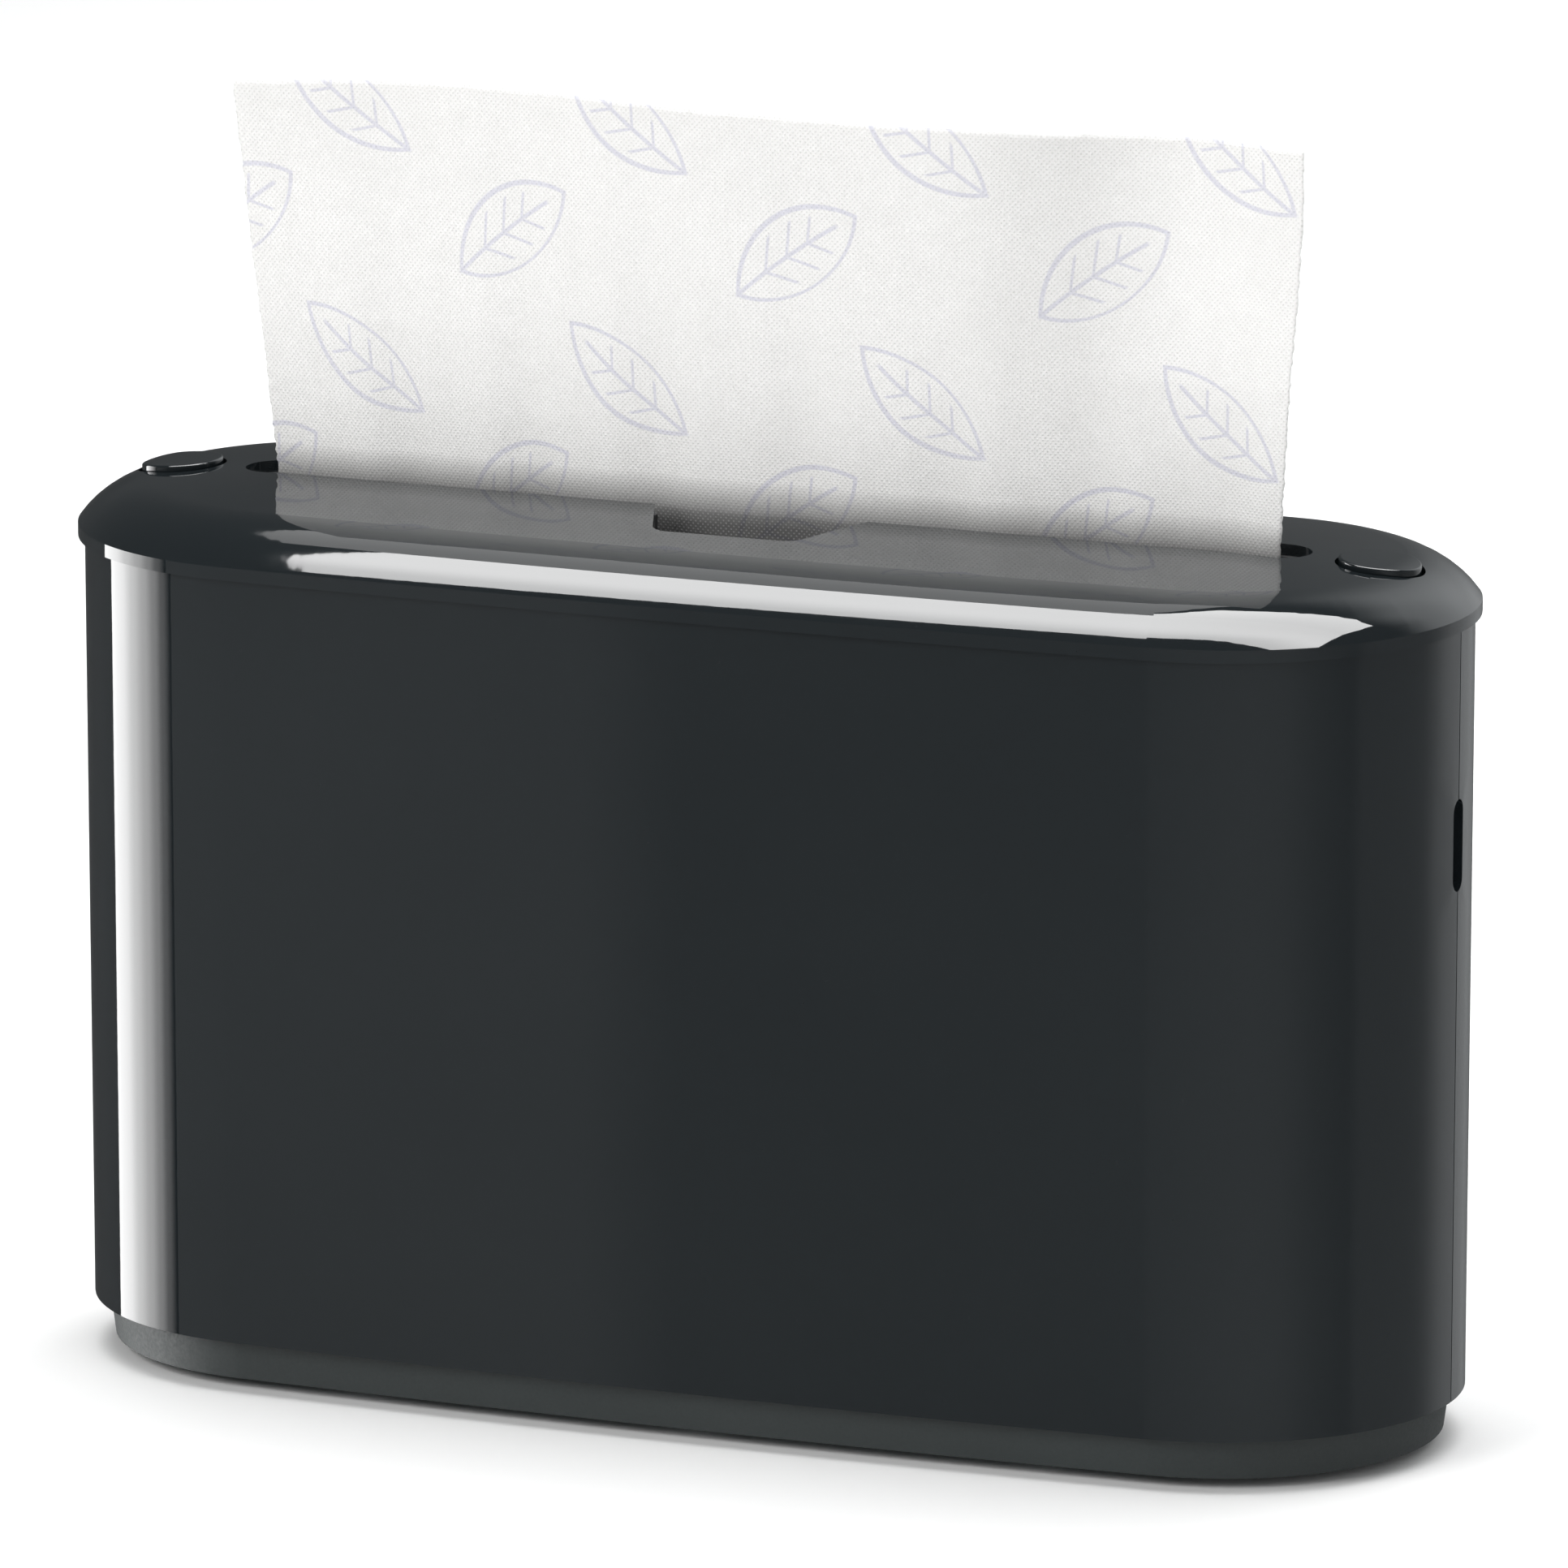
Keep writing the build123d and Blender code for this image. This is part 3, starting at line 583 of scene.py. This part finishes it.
def polar(az, el, r, centre=(0, 0, 0.15)):
    """A point seen from the object's middle at azimuth az from the front (+ to the right)."""
    a, e = math.radians(az), math.radians(el)
    return Vector(centre) + Vector((math.sin(a) * math.cos(e), -math.cos(a) * math.cos(e), math.sin(e))) * r


def wall_card(name, az0, az1, z0, z1, r, strength, gradient=None):
    """An upright card that covers azimuths az0..az1 at distance r."""
    p0, p1 = polar(az0, 0, r), polar(az1, 0, r)
    return card(name, [(p0.x, p0.y, z0), (p1.x, p1.y, z0), (p1.x, p1.y, z1), (p0.x, p0.y, z1)], strength, gradient)


# the tall strip box at the left, brightest at its rear edge
wall_card("box_left", -100.5, -58, -1.6, 0.9, 2.2, 9.6, {"X": [(0.0, 0.95), (0.25, 1.0), (0.42, 0.80), (0.60, 0.60), (0.75, 0.36), (0.87, 0.15), (1.0, 0.0)]})
# the overhead box
ZB = 1.25
HB = ZB - 0.19


def over(name, corners, strength, gradient=None):
    """A level card overhead; its corners are given in units of its height over the lid."""
    return card(name, [(x * HB, y * HB, ZB) for x, y in corners], strength, gradient)


over("box_top", [(-0.62, -0.50), (0.80, -0.34), (0.80, 0.10), (-0.52, 0.10)], 15.0, {"Y": [(0.0, 0.78), (0.5, 1.0), (1.0, 0.90)]})
over("box_top_right", [(-0.25, 0.10), (0.80, 0.10), (0.80, 0.45), (-0.05, 0.36)], 13.0)
over("box_top_grey", [(-0.56, 0.10), (-0.25, 0.10), (-0.02, 0.62), (-0.62, 0.62)], 2.3)
w = bpy.data.worlds.new("studio")
scene.world = w
w.use_nodes = True
nt = w.node_tree
nt.nodes.clear()


class Tree(Mat):
    def __init__(self, nt):
        self.nt = nt


t = Tree(nt)
wo = nt.nodes.new("ShaderNodeOutputWorld")
bg = nt.nodes.new("ShaderNodeBackground")
sep = t.n("ShaderNodeSeparateXYZ")
t.link(t.coord("Generated"), sep.inputs[0])
wx, wy, wz = sep.outputs[0], sep.outputs[1], sep.outputs[2]
az = t.math("MULTIPLY", t.math("ARCTAN2", wx, t.math("MULTIPLY", wy, -1.0)), 180.0 / math.pi)   # -180..180, 0 is the front
el = t.math("MULTIPLY", t.math("ARCSINE", wz), 180.0 / math.pi)
# the room low down, by azimuth, as the upright walls see it
LOW = [(-180, 0.24), (-168, 0.12), (-150, 0.07), (-130, 0.10), (-121, 0.14), (-110, 0.18), (-95, 0.25), (-60, 0.44), (-40, 0.47), (-23.9, 0.45),
       (-23.4, 0.29), (-20, 0.265), (-17, 0.26), (-8, 0.33), (0, 0.36), (18, 0.41), (33, 0.44), (48, 0.42), (56, 0.36), (64, 0.30),
       (72, 0.26), (81, 0.22), (88, 0.33), (98, 0.33), (119, 0.30), (128, 0.32), (180, 0.26)]
r = t.n("ShaderNodeValToRGB")
e = r.color_ramp.elements
while len(e) < len(LOW):
    e.new(0.5)
for q, (a_, v_) in zip(e, LOW):
    q.position = (a_ + 180.0) / 360.0
    q.color = (v_, v_, v_, 1.0)
t.link(t.maprange(az, -180.0, 180.0, 0.0, 1.0), r.inputs[0])
low = t.math("MULTIPLY", r.outputs[0], 1.0)
high = 0.11
up = t.n("ShaderNodeMapRange", interpolation_type="SMOOTHSTEP")
up.inputs[1].default_value, up.inputs[2].default_value = 4.0, 14.0
t.link(el, up.inputs[0])
base = t.math("ADD", t.math("MULTIPLY", low, t.math("SUBTRACT", 1.0, up.outputs[0])), t.math("MULTIPLY", up.outputs[0], high))
# a bright screen behind, to the right, brighter towards its top
az2 = t.math("FLOORED_MODULO", t.math("ADD", az, 360.0), 360.0)


def step(v, a0, a1):
    q = t.n("ShaderNodeMapRange", interpolation_type="SMOOTHSTEP")
    q.inputs[1].default_value, q.inputs[2].default_value = a0, a1
    t.link(v, q.inputs[0])
    return q.outputs[0]


side = t.math("MULTIPLY", step(az2, 124.0, 146.0), t.math("SUBTRACT", 1.0, step(az2, 162.0, 204.0)))
rise = t.math("ADD", t.math("MULTIPLY", step(el, -30.0, 12.0), 0.9), t.math("MULTIPLY", step(el, 2.0, 24.0), 0.4))
fall = t.math("SUBTRACT", 1.0, step(el, 42.0, 62.0))
blob = t.math("MULTIPLY", t.math("MULTIPLY", side, rise), fall)
glossy = t.math("ADD", base, blob)
lp = t.n("ShaderNodeLightPath")
strength = t.math("ADD", t.math("MULTIPLY", glossy, lp.outputs["Is Glossy Ray"]),
                  t.math("MULTIPLY", 0.22, t.math("SUBTRACT", 1.0, lp.outputs["Is Glossy Ray"])))
t.link(strength, bg.inputs[1])
bg.inputs[0].default_value = (0.96, 0.985, 1.0, 1)
t.link(bg.outputs[0], wo.inputs[0])


def area(name, loc, aim, sx, sy, power, color=(1, 1, 1)):
    ld = bpy.data.lights.new(name, "AREA")
    ld.shape = "RECTANGLE"
    ld.size, ld.size_y, ld.energy, ld.color = sx, sy, power, color
    lo = bpy.data.objects.new(name, ld)
    lo.location = Vector(loc)
    lo.rotation_euler = (Vector(aim) - Vector(loc)).to_track_quat("-Z", "Y").to_euler()
    scene.collection.objects.link(lo)
    lo.visible_glossy = False
    lo.visible_camera = False
    return lo


area("key", (-1.3, -2.3, 1.7), (0, 0, 0.16), 1.6, 1.6, 52, (1.0, 0.995, 0.985))
area("fill", (1.7, -1.9, 1.1), (0, 0, 0.15), 1.4, 1.4, 12)
area("top", (0.0, 0.2, 2.2), (0, 0, 0.1), 2.0, 1.6, 55)
area("back", (0.6, 2.2, 1.3), (0, 0, 0.15), 1.6, 1.4, 26)

# pale floor, and a white surround that only the camera sees
fl = bpy.data.meshes.new("floor")
R = 9.0
fl.from_pydata([(-R, -R, 0), (R, -R, 0), (R, R, 0), (-R, R, 0)], [], [(0, 1, 2, 3)])
floor = bpy.data.objects.new("floor", fl)
scene.collection.objects.link(floor)
fm = Mat("floor")
fm.set(Base_Color=fm.ramp(fm.noise(fm.coord(), 3.0), [(0.3, (0.90, 0.90, 0.90)), (0.7, (0.93, 0.93, 0.93))]), Roughness=0.9)
fm.b.inputs["Specular IOR Level"].default_value = 0.0
paint(floor, fm.m)
floor.visible_glossy = False

bpy.ops.mesh.primitive_uv_sphere_add(segments=48, ring_count=24, radius=14.0, location=(0, 0, 0))
dome = bpy.context.object
dome.name = "surround"
dm = bpy.data.materials.new("surround")
dm.use_nodes = True
dm.node_tree.nodes.clear()
do = dm.node_tree.nodes.new("ShaderNodeOutputMaterial")
de = dm.node_tree.nodes.new("ShaderNodeEmission")
de.inputs[1].default_value = 1.0
dm.node_tree.links.new(de.outputs[0], do.inputs[0])
paint(dome, dm)
dome.visible_diffuse = dome.visible_glossy = dome.visible_transmission = dome.visible_shadow = dome.visible_volume_scatter = False
